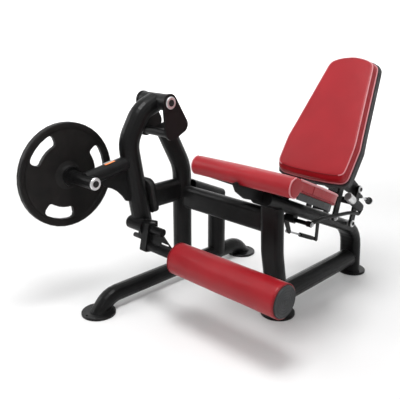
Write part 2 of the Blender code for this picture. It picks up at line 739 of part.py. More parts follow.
def make_ankle_carrier():
    shaft = [(0, 0), (0, 0.014), (0.001, 0.015), (0.1488, 0.015), (0.1488, 0.018), (0.2185, 0.018)]
    shaft += [(0.2195, 0.017), (0.2195, 0)]
    shaft = turned(shaft, at_x(-0.6045, ANKLE_PIVOT), X_AXIS, 24)
    place("ankle_shaft", shaft, "black_paint", "ankle_carrier")

    down = pin_direction()
    sector = circle_points(ANKLE_PIVOT, 0.068, 12, down - math.radians(20), math.radians(112))
    outline = hull(sector + circle_points(ANKLE_PIVOT, 0.036, 20))
    selector = place("ankle_selector", plate_yz(outline, -0.5047, -0.4952), "black_paint", "ankle_carrier")
    cut(selector, cylinder_x(ANKLE_PIVOT, 0.015 + GAP, -0.6, -0.4, 24), "ankle_carrier")
    for step in range(-1, 4):
        centre = around_ankle(math.dist(ANKLE_PIN, ANKLE_PIVOT), down + PIN_STEP * step)
        cut(selector, cylinder_x(centre, 0.0056, -0.6, -0.4, 12), "ankle_carrier")

    along = (Vector(ANKLE_BAR) - Vector(ANKLE_PIVOT)).normalized()
    side = Vector((-along.y, along.x)) * 0.0235
    high, low = Vector(ANKLE_PIVOT) - along * 0.027, Vector(ANKLE_BAR) + along * 0.0235
    outline = filleted([high - side, high + side, low + side, low - side], 0.006, True, 3)
    block = place("ankle_block", plate_yz(outline, -0.4948, -0.4560), "black_paint", "ankle_carrier")
    cut(block, cylinder_x(ANKLE_PIVOT, 0.015 + GAP, -0.6, -0.4, 24), "ankle_carrier")
    cut(block, cylinder_x(ANKLE_BAR, BAR_RADIUS + GAP, -0.6, -0.4, 24), "ankle_carrier")
    bar = pin_x(ANKLE_BAR, BAR_RADIUS, -0.4942, 0.2625, sides=24)
    place("ankle_bar", bar, "black_paint", "ankle_carrier")

    down = (Vector(ANKLE_BAR) - Vector(ANKLE_PIVOT)).normalized()
    origin = at_x(0.0, ANKLE_PIVOT)
    outline = [(-0.4556, 0.008), (-0.3835, 0.008), (-0.3800, 0.012), (-0.302, 0.062), (-0.302, 0.074)]
    outline += [(-0.4556, 0.074)]
    gusset = framed([(outline, -0.004), (outline, 0.004)], origin, flat(down))
    gusset = place("ankle_gusset", gusset, "black_paint", "ankle_carrier")
    cut(gusset, cylinder_x(ANKLE_PIVOT, 0.018 + GAP, -0.46, -0.3846, 20), "ankle_carrier")
    cut(gusset, cylinder_x(ANKLE_BAR, BAR_RADIUS + GAP, -0.6, -0.2, 24), "ankle_carrier")
    slot = lobed([((-0.385, 0.0445), 0.004), ((-0.340, 0.0445), 0.004)], 12)
    cut(gusset, framed([(slot, -0.02), (slot, 0.02)], origin, flat(down)), "ankle_carrier")


def make_roller():
    bore = BAR_RADIUS + RUN
    length = 2 * ROLLER_HALF
    profile = [(0, bore), (0, ROLLER_RADIUS - 0.004), (0.004, ROLLER_RADIUS), (length - 0.004, ROLLER_RADIUS)]
    profile += [(length, ROLLER_RADIUS - 0.004), (length, bore)]
    foam = turned(profile, at_x(-ROLLER_HALF, ANKLE_BAR), X_AXIS, 32, closed=True)
    place("roller_foam", foam, "red_vinyl", "roller")
    edge = ROLLER_RADIUS - 0.005
    cap = [(0, 0), (0, edge), (0.0085, edge), (0.0105, edge - 0.003), (0.0105, 0.040), (ROLLER_CAP, 0.038)]
    cap += [(ROLLER_CAP, 0)]
    cap = turned(cap, at_x(ROLLER_HALF + GAP, ANKLE_BAR), X_AXIS, 32)
    place("roller_cap_left", cap, "grey_plastic", "roller")
    cap = [(0, bore), (0, edge), (0.0085, edge), (0.0105, edge - 0.003), (0.0105, 0.040), (ROLLER_CAP, 0.038)]
    cap += [(ROLLER_CAP, bore)]
    cap = turned(cap, at_x(-ROLLER_HALF - GAP, ANKLE_BAR), -X_AXIS, 32, closed=True)
    place("roller_cap_right", cap, "grey_plastic", "roller")


# ---------------------------------------------------------------- backrest and its linkage


def make_link_axles():
    washer, head = 0.0140, 0.0125
    inner, outer = LINK_INNER - RUN, LINK_OUTER + RUN
    side = OVAL_WIDE / 2 + GAP
    for name, centre, capped in (("front_link_axle", LINK_FRONT, False), ("rear_link_axle", LINK_REAR, True)):
        profile = [(-outer - 0.0045, 0), (-outer - 0.0045, head - 0.001), (-outer - 0.0035, head)]
        profile += [(-outer, head), (-outer, PIN_RADIUS), (-inner, PIN_RADIUS), (-inner, washer)]
        profile += [(-side, washer), (-side, PIN_RADIUS), (side, PIN_RADIUS), (side, washer)]
        profile += [(inner, washer), (inner, PIN_RADIUS)]
        if capped:
            profile += [(outer + 0.0020, PIN_RADIUS), (outer + 0.0020, 0)]
        else:
            profile += [(outer, PIN_RADIUS), (outer, head), (outer + 0.0035, head)]
            profile += [(outer + 0.0045, head - 0.001), (outer + 0.0045, 0)]
        place(name, turned(profile, at_x(0.0, centre), X_AXIS, 16), "steel", "frame")
    ring_cap("rear_axle_cap", LINK_REAR, outer, "frame")


def ring_cap(name, centre, x, body):
    """A silver cap with a deep black centre over the end of a pin."""
    ring = [(0, PIN_RADIUS + GAP), (0, 0.0160), (0.003, 0.0170), (0.006, 0.0150), (0.006, 0.0070)]
    ring += [(0.0025, 0.0070), (0.0025, PIN_RADIUS + GAP)]
    place(name, turned(ring, at_x(x, centre), X_AXIS, 20, closed=True), "silver", body)


def make_link(name, low, high, body):
    """Two flat bars, welded to a tie and to the pin that carries the backrest."""
    outline = lobed([(low, LINK_HALF), (high, LINK_HALF)], 16)
    along = (Vector(high) - Vector(low)).normalized()
    link = place(name, plate_yz(outline, LINK_INNER, LINK_OUTER), "black_paint", body)
    join(link, plate_yz(outline, -LINK_OUTER, -LINK_INNER), body)
    tie = [(-LINK_INNER - 0.005, 0.085), (LINK_INNER + 0.005, 0.085)]
    tie += [(LINK_INNER + 0.005, 0.115), (-LINK_INNER - 0.005, 0.115)]
    join(link, framed([(tie, -0.004), (tie, 0.004)], at_x(0.0, low), flat(along)), body)
    tip = LINK_OUTER + 0.002
    join(link, cylinder_x(high, PIN_RADIUS, -tip, tip, 14), body)
    cut(link, cylinder_x(low, PIN_RADIUS + RUN, -0.1, 0.1, 16), body)


def make_linkage():
    make_link("front_link", LINK_FRONT, LINK_FRONT_TOP, "front_link")
    make_link("rear_link", LINK_REAR, LINK_REAR_TOP, "rear_link")
    ring_cap("rear_pin_cap", LINK_REAR_TOP, LINK_OUTER + RUN, "rear_link")


def back_outline(inset):
    side = [(0.085, -0.010), (0.145, -0.005), (0.163, 0.003), (0.170, 0.020), (0.171, 0.150), (0.158, 0.223)]
    side += [(0.113, 0.505), (0.109, 0.525), (0.100, 0.538), (0.070, 0.552), (0.035, 0.560)]
    middle = BACK_LENGTH / 2
    shrink = 1 - inset / 0.17, 1 - inset / middle
    ring = [(0, -0.012)] + side + [(0, BACK_LENGTH)] + [(-x, up) for x, up in reversed(side)]
    return [Vector((x * shrink[0], middle + (up - middle) * shrink[1])) for x, up in ring]


def make_back():
    origin, up = at_x(0.0, BACK_POINT), flat(BACK_UP)
    levels = [(back_outline(-0.009), -BACK_CUSHION), (back_outline(0.0), 0.0)]
    cushion = framed(levels, origin, up)
    place("back_cushion", cushion, "red_vinyl", "back_carriage")
    low = BACK_CUSHION + 2 * GAP
    board = back_outline(-0.013)
    board = framed([(board, -low - BOARD_THICK), (board, -low)], origin, up)
    place("back_board", board, "black_plastic", "back_carriage")


def make_carriage():
    """A channel behind the board whose sides reach back to the two links."""
    web = BACK_CUSHION + 2 * GAP + BOARD_THICK + GAP
    corners = [back_point(0.020, web), back_point(0.250, web), back_point(0.250, web + 0.028)]
    rear = (PULL_START[0] + 0.016, PULL_START[1] - 0.008)
    rings = circle_points(LINK_FRONT_TOP, 0.022, 20) + circle_points(LINK_REAR_TOP, 0.022, 20)
    rings += circle_points(rear, 0.018, 20)
    lower = hull(rings + corners[:1] + [back_point(0.090, web), back_point(0.110, web + 0.060)])
    half = CARRIAGE_HALF
    carriage = place("back_carriage", plate_yz(lower, -half, half), "black_paint", "back_carriage")
    upper = [back_point(0.060, web), corners[1], corners[2], back_point(0.110, web + 0.050)]
    upper += [back_point(0.060, web + 0.050)]
    join(carriage, plate_yz(upper, -half, half), "back_carriage")
    room = [back_point(0.0, web + 0.006), back_point(0.30, web + 0.006), back_point(0.30, web + 0.5)]
    room += [back_point(-0.30, web + 0.5), back_point(-0.30, web + 0.006)]
    cut(carriage, plate_yz(room, -half + 0.008, half - 0.008), "back_carriage")
    for centre in (LINK_FRONT_TOP, LINK_REAR_TOP):
        cut(carriage, cylinder_x(centre, PIN_RADIUS + RUN, -0.1, 0.1, 16), "back_carriage")


def make_pull_pin():
    axis = flat(PULL_ALONG)
    start = at_x(PULL_X, PULL_START)
    housing = [(0, 0.0055), (0, 0.0095), (0.001, 0.0105), (0.078, 0.0105), (0.078, 0.0080), (0.088, 0.0080)]
    housing += [(0.088, 0.0055)]
    housing = turned(housing, start, axis, 16, closed=True)
    place("pull_pin_housing", housing, "black_paint", "back_carriage")
    knob = [(-0.006, 0), (-0.006, 0.004), (-0.005, 0.005), (0.138, 0.005), (0.144, 0.0085), (0.168, 0.0095)]
    knob += [(0.172, 0.0165), (0.179, 0.0180), (0.188, 0.0170), (0.193, 0.0120), (0.193, 0)]
    place("pull_pin", turned(knob, start, axis, 18), "silver", "pull_pin")


# ---------------------------------------------------------------- release lever and gas spring


def make_release():
    shaft = pin_x(LEVER_SHAFT, 0.009, -0.0205, LEVER_SIDE, sides=20)
    shaft = place("release_lever", shaft, "black_paint", "release_lever")
    points = [LEVER_SHAFT, (0.185, 0.430), (0.400, 0.4015), (0.455, 0.391), (0.500, 0.3725), (0.524, 0.391)]
    points = filleted(points, [0, 0.15, 0.3, 0.06, 0.010, 0], steps=3)
    bar = sweep(in_plane(LEVER_SIDE, points), X_AXIS, 0.017, 0.017, sides=10)
    join(shaft, bar, "release_lever")
    hub = cylinder_x(LEVER_SHAFT, 0.0125, LEVER_SIDE - 0.012, LEVER_SIDE + 0.009, 20)
    join(shaft, hub, "release_lever")
    crank = lobed([(LEVER_SHAFT, 0.014), (GAS_FRONT, 0.0095)], 20)
    join(shaft, plate_yz(crank, *CRANK_X), "release_lever")
    join(shaft, cylinder_x(GAS_FRONT, 0.004, -0.038, -0.020, 12), "release_lever")
    low, high = Vector(GRIP_LOW), Vector(GRIP_HIGH)
    along = (high - low).normalized()
    core = [(-0.028, 0), (-0.028, 0.0072), (-0.027, 0.0082), (0.1285, 0.0082), (0.1285, 0)]
    join(shaft, turned(core, at_x(LEVER_SIDE, low), flat(along), 14), "release_lever")

    length = (high - low).length
    bore = 0.0082 + GAP
    grip = [(length - 0.006, 0), (length - 0.006, bore), (0, bore), (0, 0.018), (0.003, GRIP_RADIUS)]
    grip += [(length - 0.004, GRIP_RADIUS), (length, 0.017), (length, 0)]
    grip = turned(grip, at_x(LEVER_SIDE, low), flat(along), 20)
    place("release_grip", grip, "grey_plastic", "release_lever")

    bracket = lobed([(LEVER_SHAFT, 0.0155), ((0.106, 0.466), 0.020)], 24)
    bracket = place("lever_bracket", plate_yz(bracket, -0.012, 0.030), "black_paint", "frame")
    cut(bracket, rail_solid())
    cut(bracket, cylinder_x(LEVER_SHAFT, 0.009 + RUN, -0.1, 0.1, 20))


def make_gas_spring():
    lug = hull(circle_points(GAS_REAR, 0.0095, 20) + [(0.348, 0.37), (0.370, 0.36)])
    lug = place("gas_lug", plate_yz(lug, *CRANK_X), "black_paint", "frame")
    cut(lug, rail_solid())
    join(lug, cylinder_x(GAS_REAR, 0.004, -0.038, -0.020, 12))

    axis = flat(GAS_ALONG)
    start = at_x(GAS_X, GAS_FRONT)
    length = math.dist(GAS_FRONT, GAS_REAR)
    open_end = 0.108
    body = [(length - 0.030, 0), (length - 0.030, 0.0046), (open_end, 0.0046), (open_end, 0.0090)]
    body += [(open_end + 0.001, 0.0100), (length - 0.020, 0.0100), (length - 0.014, 0.0045), (length, 0.0045)]
    body += [(length, 0)]
    body = place("gas_cylinder", turned(body, start, axis, 14), "black_paint", "gas_cylinder")
    join(body, cylinder_x(GAS_REAR, 0.0085, GAS_X - 0.005, GAS_X + 0.005, 14), "gas_cylinder")
    cut(body, cylinder_x(GAS_REAR, 0.0045, -0.1, 0.1, 16), "gas_cylinder")

    rod = [(0, 0), (0, 0.0040), (0.150, 0.0040), (0.150, 0)]
    rod = place("gas_rod", turned(rod, start, axis, 12), "steel", "gas_rod")
    join(rod, cylinder_x(GAS_FRONT, 0.0085, GAS_X - 0.005, GAS_X + 0.005, 14), "gas_rod")
    cut(rod, cylinder_x(GAS_FRONT, 0.0048, -0.1, 0.1, 16), "gas_rod")


# ---------------------------------------------------------------- the machine


def make_bodies():
    add_body("frame", None, (0.0, 0.0, 0.0))
    add_body("lever_arm", "frame", at_x(LEVER_X, PIVOT))
    add_body("weight_plate", "lever_arm", at_x(COLLAR_X, HORN))
    add_body("ankle_pin", "lever_arm", at_x(-0.560, ANKLE_PIN))
    add_body("ankle_carrier", "lever_arm", at_x(-0.500, ANKLE_PIVOT))
    add_body("roller", "ankle_carrier", at_x(0.0, ANKLE_BAR))
    add_body("front_link", "frame", at_x(0.0, LINK_FRONT))
    add_body("rear_link", "frame", at_x(0.0, LINK_REAR))
    add_body("back_carriage", "front_link", at_x(0.0, LINK_FRONT_TOP))
    add_body("pull_pin", "back_carriage", at_x(PULL_X, PULL_START))
    add_body("release_lever", "frame", at_x(0.0, LEVER_SHAFT))
    add_body("gas_cylinder", "frame", at_x(GAS_X, GAS_REAR))
    add_body("gas_rod", "gas_cylinder", at_x(GAS_X, GAS_FRONT))


def centre_on_floor(root):
    """Puts the origin under the middle of the machine, on the floor."""
    bpy.context.view_layer.update()
    graph = bpy.context.evaluated_depsgraph_get()
    low, high = Vector((9.0, 9.0, 9.0)), Vector((-9.0, -9.0, -9.0))
    for obj in bpy.context.scene.objects:
        if obj.type != "MESH" or obj.hide_render:
            continue
        shape = obj.evaluated_get(graph)
        for vertex in shape.data.vertices:
            point = shape.matrix_world @ vertex.co
            low = Vector(map(min, low, point))
            high = Vector(map(max, high, point))
    shift = Vector((-(low.x + high.x) / 2, -(low.y + high.y) / 2, -low.z))
    root.location = shift
    print("moved by", [round(v, 6) for v in shift], "size", [round(v, 4) for v in high - low])


def build():
    clear_scene()
    make_materials()
    make_bodies()
    make_feet()
    make_lever_side()
    make_stop()
    make_clevis()
    make_cross_tube()
    make_seat_side()
    make_seat()
    make_arm()
    make_plate_arm()
    make_horn()
    make_weight_plate()
    make_ankle_housing()
    make_ankle_pin()
    make_ankle_carrier()
    make_roller()
    make_link_axles()
    make_linkage()
    make_back()
    make_carriage()
    make_pull_pin()
    make_release()
    make_gas_spring()
    centre_on_floor(empties["frame"])


build()
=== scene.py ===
"""Looks of the plate-loaded leg extension machine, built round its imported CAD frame.

Metres, +Z up. The user sits facing -Y. Points given to at() are in the machine's own frame:
X = 0 is the middle of the seat, Y = 0 is the lever-side upright and Z = 0 is just under the
floor plates. Pairs hold (Y, Z).
"""

import json
import math

import bmesh
import bpy
from mathutils import Matrix, Vector, noise
from mathutils.bvhtree import BVHTree
from mathutils.kdtree import KDTree


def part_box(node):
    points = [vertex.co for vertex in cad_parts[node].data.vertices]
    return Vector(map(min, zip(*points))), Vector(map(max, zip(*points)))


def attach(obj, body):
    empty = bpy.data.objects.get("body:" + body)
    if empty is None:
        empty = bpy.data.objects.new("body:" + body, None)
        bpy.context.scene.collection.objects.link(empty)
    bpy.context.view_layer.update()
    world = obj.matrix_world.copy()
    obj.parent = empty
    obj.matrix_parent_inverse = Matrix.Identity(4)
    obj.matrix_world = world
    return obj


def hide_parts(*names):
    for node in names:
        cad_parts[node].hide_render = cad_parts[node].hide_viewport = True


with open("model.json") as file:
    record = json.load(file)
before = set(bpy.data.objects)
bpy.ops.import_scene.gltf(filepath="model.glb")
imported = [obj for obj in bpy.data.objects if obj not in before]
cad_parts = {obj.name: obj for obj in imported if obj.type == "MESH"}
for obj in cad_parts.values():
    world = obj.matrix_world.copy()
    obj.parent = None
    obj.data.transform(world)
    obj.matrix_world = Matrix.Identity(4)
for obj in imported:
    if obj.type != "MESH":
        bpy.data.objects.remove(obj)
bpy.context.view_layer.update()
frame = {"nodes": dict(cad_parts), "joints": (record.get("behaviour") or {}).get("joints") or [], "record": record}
NODES = frame["nodes"]
JOINTS = {joint["name"]: joint for joint in frame["joints"]}

LEVER_X = -0.564
CLEVIS_REACH = 0.0923
PIVOT = (-0.145, 0.8945)
ORIGIN = Vector(JOINTS["arm_hinge"]["pos_m"]) - Vector((LEVER_X, *PIVOT))

TILT = math.radians(23.5)
SEAT_FRONT = (-0.197, 0.7127)
SEAT_THICK = 0.0483
SEAT_HALF = 0.242
SEAT_LENGTH = 0.456
ROLL_RADIUS = 0.040
BACK_LEAN = math.radians(33.7)
BACK_POINT = (0.215, 0.610)
BACK_LENGTH = 0.563
BACK_CUSHION = 0.048
HORN = (-0.529, 0.606)
ANKLE_BAR = (-0.296, 0.281)
ROLLER_RADIUS = 0.069
ROLLER_HALF = 0.270
LINK_FRONT = (0.345, 0.3857)
LINK_REAR = (0.4985, 0.3190)
LINK_RISE = (0.048, 0.157)
LINK_OUTER = 0.0765
LEVER_SIDE = 0.104
LEVER_SHAFT = (0.098, 0.427)
PLATE_ARM = ((-0.285, 0.6546), (-0.535, 0.612))
PLATE_ARM_TOP = 0.0316
GRIP_LOW = (0.504, 0.405)
GRIP_HIGH = (0.392, 0.483)
PULL_START = (0.556, 0.4503)
PULL_END = (0.705, 0.378)
PULL_X = 0.040
KNOB_FACE = 0.193

BOLT_RADIUS = 0.0078
BOLT_HEIGHT = 0.0046
WASHER = 0.0014
SEAT_SEAM = 0.1165
PAD_VOXEL = 0.0050
PAD_PRESSURE = 3.0
PAD_STRETCH = 0.0045
PAD_STEPS = 20
SEAM_HOLD = 0.0075
WELD_RADIUS = 0.0024
WELD_REACH = 0.0009
WELD_SHORTEST = 0.02

ROOM_FLAT = 5.0
ROOM_CURVE = 4.0
ROOM_HIGH = 9.0

CAMERA_TURN = 44.5
CAMERA_RISE = 17.75
CAMERA_SPOT = (1.320, -1.788, 1.236)
CAMERA_LENS = 50.85

SIDES = (("left", 1), ("right", -1))
X_AXIS = Vector((1.0, 0.0, 0.0))


def at(x, y, z):
    """A point of the machine's own frame in the frame that the CAD is packed in."""
    return ORIGIN + Vector((x, y, z))


def flat(pair):
    """A (Y, Z) pair as a direction or an offset."""
    return Vector((0.0, pair[0], pair[1]))


SEAT_DOWN = flat((math.cos(TILT), -math.sin(TILT)))
SEAT_UP = flat((math.sin(TILT), math.cos(TILT)))
BACK_UP = flat((math.sin(BACK_LEAN), math.cos(BACK_LEAN)))
BACK_REAR = flat((math.cos(BACK_LEAN), -math.sin(BACK_LEAN)))


def seat_at(x, along, height):
    """Across the seat, along its slope from the front roll, and height above its top."""
    return at(x, *SEAT_FRONT) + SEAT_DOWN * along + SEAT_UP * height


def back_at(x, up, depth):
    """Across the backrest, up its face from the lower edge, and depth behind the face."""
    return at(x, *BACK_POINT) + BACK_UP * up + BACK_REAR * depth


# ---------------------------------------------------------------- materials


class Look:
    """A procedural material: a Principled shader and a chain of bumps."""

    def __init__(self, name, roughness, metallic=0.0, coat=0.0, shine=0.4):
        self.material = bpy.data.materials.new(name)
        self.material.use_nodes = True
        self.tree = self.material.node_tree
        self.shader = self.tree.nodes["Principled BSDF"]
        self.shader.inputs["Roughness"].default_value = roughness
        self.shader.inputs["Metallic"].default_value = metallic
        self.shader.inputs["Coat Weight"].default_value = coat
        self.shader.inputs["Coat Roughness"].default_value = 0.25
        self.shader.inputs["Specular IOR Level"].default_value = shine
        self.place = self.add("TexCoord").outputs["Object"]
        self.bump = None

    def add(self, kind, inputs=None, **settings):
        """A new shader node. An input's value is a number or the output of another node."""
        made = self.tree.nodes.new("ShaderNode" + kind)
        for key, value in settings.items():
            setattr(made, key, value)
        for key, value in (inputs or {}).items():
            if isinstance(value, bpy.types.NodeSocket):
                self.tree.links.new(value, made.inputs[key])
            else:
                made.inputs[key].default_value = value
        return made

    def stretched(self, scale):
        return self.add("Mapping", {"Vector": self.place, "Scale": scale}).outputs["Vector"]

    def noise(self, scale, detail=3.0, place=None):
        inputs = {"Vector": place or self.place, "Scale": scale, "Detail": detail}
        return self.add("TexNoise", inputs).outputs["Fac"]

    def pebbles(self, scale):
        """0 in the creases between small cells, as in leather grain, and more inside them."""
        inputs = {"Vector": self.place, "Scale": scale}
        made = self.add("TexVoronoi", inputs, feature="DISTANCE_TO_EDGE")
        return made.outputs["Distance"]

    def ramp(self, value, low, high, first, last):
        """The value carried over from the range low to high onto the range first to last."""
        inputs = {"Value": value, "From Min": low, "From Max": high, "To Min": first, "To Max": last}
        return self.add("MapRange", inputs).outputs["Result"]

    def blend(self, share, first, second):
        """A colour between first and second. The numbers are the inputs of a colour Mix node."""
        made = self.add("Mix", data_type="RGBA")
        for index, value in ((0, share), (6, first), (7, second)):
            if isinstance(value, bpy.types.NodeSocket):
                self.tree.links.new(value, made.inputs[index])
            else:
                made.inputs[index].default_value = value if index == 0 else (*value, 1.0)
        return made.outputs[2]

    def clouded(self, scale, detail, dark, light, low=0.35, high=0.65):
        """A slow drift between two colours."""
        return self.blend(self.ramp(self.noise(scale, detail), low, high, 0.0, 1.0), dark, light)

    def edges(self, low=0.52, high=0.62):
        """1 on the outer edges of the shape and 0 on its faces."""
        return self.ramp(self.add("NewGeometry").outputs["Pointiness"], low, high, 0.0, 1.0)

    def colour(self, socket):
        self.tree.links.new(socket, self.shader.inputs["Base Color"])

    def rough(self, socket):
        self.tree.links.new(socket, self.shader.inputs["Roughness"])

    def dent(self, height, strength, distance):
        inputs = {"Height": height, "Strength": strength, "Distance": distance}
        if self.bump:
            inputs["Normal"] = self.bump
        self.bump = self.add("Bump", inputs).outputs["Normal"]
        self.tree.links.new(self.bump, self.shader.inputs["Normal"])


def make_paint(name, dark, light, roughness):
    """Satin powder coat: fine orange peel, cloudy gloss, and a painted highlight that draws the edges a little
    lighter.
    """
    look = Look(name, roughness, coat=0.02, shine=0.16)
    base = look.clouded(9.0, 4.0, dark, light)
    speckle = look.ramp(look.noise(2600.0, 2.0), 0.62, 0.75, 0.0, 0.35)
    base = look.blend(speckle, base, tuple(2.6 * c for c in light))
    # Painted highlight: the sharp edges are drawn a little lighter grey, in patches.
    edge_highlight = look.add("Math", {0: look.edges(), 1: look.noise(40.0)}, operation="MULTIPLY")
    look.colour(look.blend(look.ramp(edge_highlight.outputs[0], 0.1, 0.7, 0.0, 0.10), base, (0.07, 0.07, 0.072)))
    look.rough(look.ramp(look.noise(60.0, 5.0), 0.3, 0.7, roughness - 0.06, roughness + 0.07))
    look.dent(look.noise(850.0, 2.0), 0.16, 0.0004)
    look.dent(look.noise(70.0, 2.0), 0.04, 0.001)
    return look.material


def make_vinyl(name, colour, shade, roughness, grain=1.0):
    """Upholstery vinyl: pebbled grain, faint creases and a soft change of colour."""
    look = Look(name, roughness, coat=0.03, shine=0.30)
    base = look.clouded(7.0, 4.0, colour, shade)
    pores = look.ramp(look.pebbles(900.0), 0.0, 0.12, 1.0, 0.0)
    look.colour(look.blend(look.ramp(pores, 0.0, 1.0, 0.0, 0.22), base, tuple(0.55 * c for c in shade)))
    look.rough(look.ramp(look.noise(35.0, 5.0), 0.3, 0.7, roughness - 0.05, roughness + 0.06))
    look.dent(look.pebbles(900.0), 0.22 * grain, 0.0004)
    look.dent(look.noise(260.0, 4.0), 0.12 * grain, 0.0006)
    look.dent(look.noise(22.0, 2.0), 0.10, 0.003)
    return look.material


def make_plastic(name, dark, light, roughness, scale=1500.0):
    """Moulded plastic with a fine sand texture and a painted highlight that draws its edges lighter."""
    look = Look(name, roughness)
    base = look.clouded(12.0, 4.0, dark, light, 0.3, 0.7)
    # Painted highlight: the sharp edges are drawn up to half way to a lighter tone.
    look.colour(look.blend(look.ramp(look.edges(), 0.0, 1.0, 0.0, 0.5), base, tuple(2.5 * c for c in light)))
    look.rough(look.ramp(look.noise(90.0), 0.3, 0.7, roughness - 0.05, roughness + 0.08))
    look.dent(look.noise(scale, 2.0), 0.25, 0.0004)
    return look.material


def make_metal(name, dark, light, roughness, streak):
    """Bare or plated metal with fine marks, drawn out along the direction where streak is smallest."""
    look = Look(name, roughness, metallic=1.0)
    marks = look.noise(1.0, 3.0, look.stretched(streak))
    look.colour(look.blend(look.ramp(marks, 0.3, 0.7, 0.0, 1.0), dark, light))
    look.rough(look.ramp(look.noise(120.0, 4.0), 0.3, 0.7, roughness - 0.05, roughness + 0.10))
    look.dent(marks, 0.10, 0.0003)
    return look.material


def make_iron(name):
    """Cast weight plate under a satin black coat, drawn a little lighter in patches at its edges."""
    look = Look(name, 0.5, coat=0.02, shine=0.2)
    base = look.clouded(14.0, 5.0, (0.0055, 0.005, 0.005), (0.0105, 0.0095, 0.009))
    # The sharp edges are drawn a little lighter grey-brown, in patches.
    lighter_edge_patches = look.add("Math", {0: look.edges(0.51, 0.58), 1: look.noise(55.0, 4.0)}, operation="MULTIPLY")
    look.colour(look.blend(look.ramp(lighter_edge_patches.outputs[0], 0.08, 0.6, 0.0, 0.04), base, (0.11, 0.10, 0.095)))
    look.rough(look.ramp(look.noise(30.0, 5.0), 0.3, 0.7, 0.42, 0.58))
    look.dent(look.noise(420.0, 4.0), 0.22, 0.0006)
    look.dent(look.noise(45.0, 3.0), 0.10, 0.002)
    return look.material


LOOKS = {
    "black_paint": make_paint("satin_black_paint", (0.0042, 0.0042, 0.0044), (0.0060, 0.0060, 0.0062), 0.36),
    "black_plastic": make_plastic("board_plastic", (0.014, 0.014, 0.015), (0.022, 0.022, 0.023), 0.50),
    "black_rubber": make_plastic("bumper_rubber", (0.007, 0.007, 0.007), (0.012, 0.012, 0.012), 0.70, 700.0),
    "plate_coat": make_iron("plate_coat"),
    "grey_plastic": make_plastic("grip_rubber", (0.040, 0.040, 0.042), (0.060, 0.060, 0.062), 0.62, 1100.0),
    "silver": make_metal("polished_cap", (0.66, 0.66, 0.67), (0.84, 0.84, 0.85), 0.32, (900.0, 30.0, 900.0)),
    "satin": make_metal("satin_ferrule", (0.66, 0.66, 0.66), (0.80, 0.80, 0.80), 0.46, (300.0, 300.0, 300.0)),
    "steel": make_metal("zinc_steel", (0.38, 0.38, 0.39), (0.56, 0.56, 0.57), 0.34, (40.0, 1200.0, 1200.0)),
    "red_vinyl": make_vinyl("red_vinyl", (0.345, 0.009, 0.016), (0.30, 0.007, 0.013), 0.38),
    # Painted shade: a darker copy of the red vinyl, used for the roller's side-facing piping rings.
    "red_vinyl_shaded": make_vinyl("red_vinyl_painted_shade", (0.24, 0.005, 0.010), (0.20, 0.004, 0.008), 0.44),
    # The piping is real, but its light pink colour is a painted highlight standing for the shine along the seat's
    # shoulders and roll ends.
    "piping": make_vinyl("piping_vinyl_painted_highlight", (0.62, 0.25, 0.27), (0.55, 0.21, 0.23), 0.34, 0.5),
    "thread": make_vinyl("seam_thread", (0.22, 0.012, 0.018), (0.16, 0.008, 0.012), 0.7, 0.3),
    "foam_cap": make_plastic("end_cap_rubber", (0.026, 0.027, 0.029), (0.040, 0.041, 0.043), 0.66, 500.0),
    "yellow": make_plastic("yellow_button", (0.70, 0.55, 0.03), (0.80, 0.64, 0.05), 0.40),
    "label_grey": make_plastic("sticker_grey", (0.13, 0.13, 0.13), (0.18, 0.18, 0.18), 0.45),
    "label_orange": make_plastic("sticker_orange", (0.62, 0.15, 0.03), (0.70, 0.19, 0.04), 0.45),
}


# ---------------------------------------------------------------- pieces


def piece(name, work, look, body, smooth=40.0):
    """A mesh object in the row frame that rides on a CAD body."""
    bmesh.ops.recalc_face_normals(work, faces=work.faces)
    mesh = bpy.data.meshes.new(name)
    work.to_mesh(mesh)
    work.free()
    mesh.materials.append(LOOKS[look])
    mesh.shade_smooth()
    if smooth:
        mesh.set_sharp_from_angle(angle=math.radians(smooth))
    obj = bpy.data.objects.new(name, mesh)
    bpy.context.scene.collection.objects.link(obj)
    if body:
        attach(obj, body)
    return obj


def circle(centre, first, second, radius, sides):
    """Points round a centre, starting towards first and turning towards second."""
    turns = [math.tau * k / sides for k in range(sides)]
    return [centre + (first * math.cos(t) + second * math.sin(t)) * radius for t in turns]


def skin(work, rows, ends=True):
    """Faces between neighbouring rows of corners, and over the two ends where they aren't single points."""
    for one, two in zip(rows, rows[1:]):
        sides = max(len(one), len(two))
        for i in range(sides):
            j = (i + 1) % sides
            if len(one) == 1:
                work.faces.new((one[0], two[j], two[i]))
            elif len(two) == 1:
                work.faces.new((one[i], one[j], two[0]))
            else:
                work.faces.new((one[i], one[j], two[j], two[i]))
    for row in (rows[0], rows[-1][::-1]) if ends else ():
        if len(row) > 2:
            work.faces.new(row)


def corners(work, points):
    return [work.verts.new(point) for point in points]


def rounded(profile, radius, steps=3):
    """The profile with its corners turned into small arcs."""
    points = [Vector(p) for p in profile]
    out = [points[0]]
    for before, corner, after in zip(points, points[1:], points[2:]):
        back, ahead = before - corner, after - corner
        reach = min(radius, back.length * 0.4, ahead.length * 0.4)
        start = corner + back.normalized() * reach
        end = corner + ahead.normalized() * reach
        for k in range(steps + 1):
            share = k / steps
            out.append(start.lerp(corner, share).lerp(corner.lerp(end, share), share))
    return out + [points[-1]]


def turned(name, profile, origin, axis, look, body, sides=48, radius=0.0010):
    """A solid of revolution. profile holds (distance along the axis, radius) pairs.

    It runs from axis to axis, or round a closed ring.
    """
    axis = Vector(axis).normalized()
    first = axis.orthogonal().normalized()
    second = axis.cross(first)
    work = bmesh.new()
    rows = []
    for along, out in rounded(profile, radius):
        centre = Vector(origin) + axis * along
        rows.append(corners(work, circle(centre, first, second, out, sides) if out > 1e-6 else [centre]))
    if profile[0][1] > 0:
        rows.append(rows[0])
    skin(work, rows, ends=False)
    return piece(name, work, look, body)


